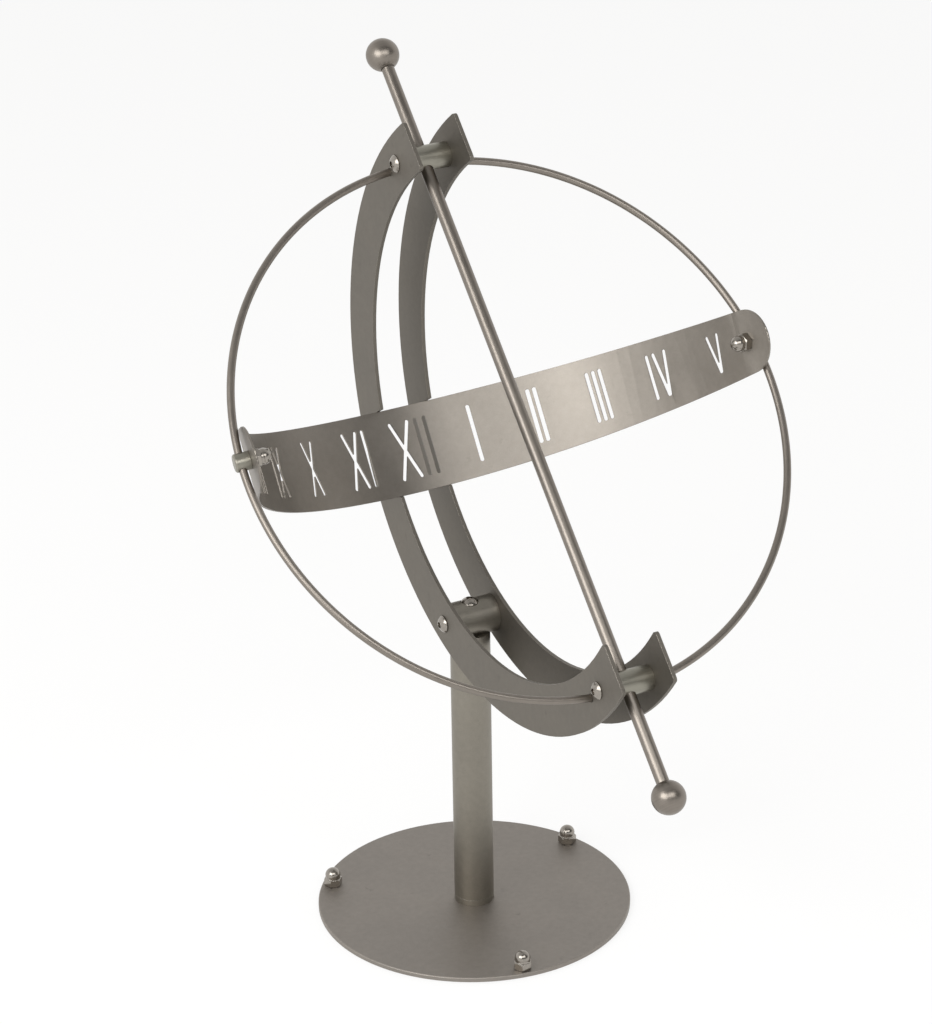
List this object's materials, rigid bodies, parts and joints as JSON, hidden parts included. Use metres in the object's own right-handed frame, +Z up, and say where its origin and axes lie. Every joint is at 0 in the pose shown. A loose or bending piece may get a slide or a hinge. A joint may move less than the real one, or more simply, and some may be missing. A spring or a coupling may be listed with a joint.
{
  "type": "garden sundial",
  "caption": "Stainless steel armillary sundial: shadow rod between crescent plates, wire ring and hour band with cut-out Roman numerals, on a post and round base.",
  "frame": {"origin": "on the post's axis, on the plane the base plate stands on", "axes": "+Z up, +Y north, the way the raised end of the shadow rod points, +X east"},
  "size_m": [0.4541, 0.4758, 0.6976],
  "materials": {
    "blasted_steel": "bead-blasted satin stainless steel",
    "brushed_steel": "brushed stainless steel bar and wire",
    "fastener_steel": "polished stainless steel fasteners"
  },
  "bodies": {
    "base": {"base_plate": "blasted_steel", "foot_stub": "blasted_steel", "base_screws": "fastener_steel", "base_cap_nuts": "fastener_steel"},
    "post": {"post_tube": "blasted_steel", "foot_set_screw": "fastener_steel", "saddle_plug": "blasted_steel", "pivot_bar": "blasted_steel", "pivot_top_screw": "fastener_steel", "pivot_side_screws": "fastener_steel"},
    "head": {"west_plate": "blasted_steel", "east_plate": "blasted_steel", "upper_cross_bar": "brushed_steel", "lower_cross_bar": "brushed_steel", "cross_bar_screws": "fastener_steel", "gnomon_rod": "brushed_steel", "upper_ball": "brushed_steel", "lower_ball": "brushed_steel", "west_half_ring": "brushed_steel", "east_half_ring": "brushed_steel", "hour_band": "blasted_steel", "west_clamp_bolt": "brushed_steel", "east_clamp_bolt": "brushed_steel", "band_cap_nuts": "fastener_steel"}
  },
  "joints": [
    {"name": "post_turn", "type": "hinge", "parent": "base", "child": "post", "pos_m": [0, 0, 0.02], "axis": [0, 0, 1], "continuous": true},
    {"name": "head_tilt", "type": "hinge", "parent": "post", "child": "head", "pos_m": [0, 0, 0.2575], "axis": [1, 0, 0], "range_deg": [-45, 45]}
  ]
}
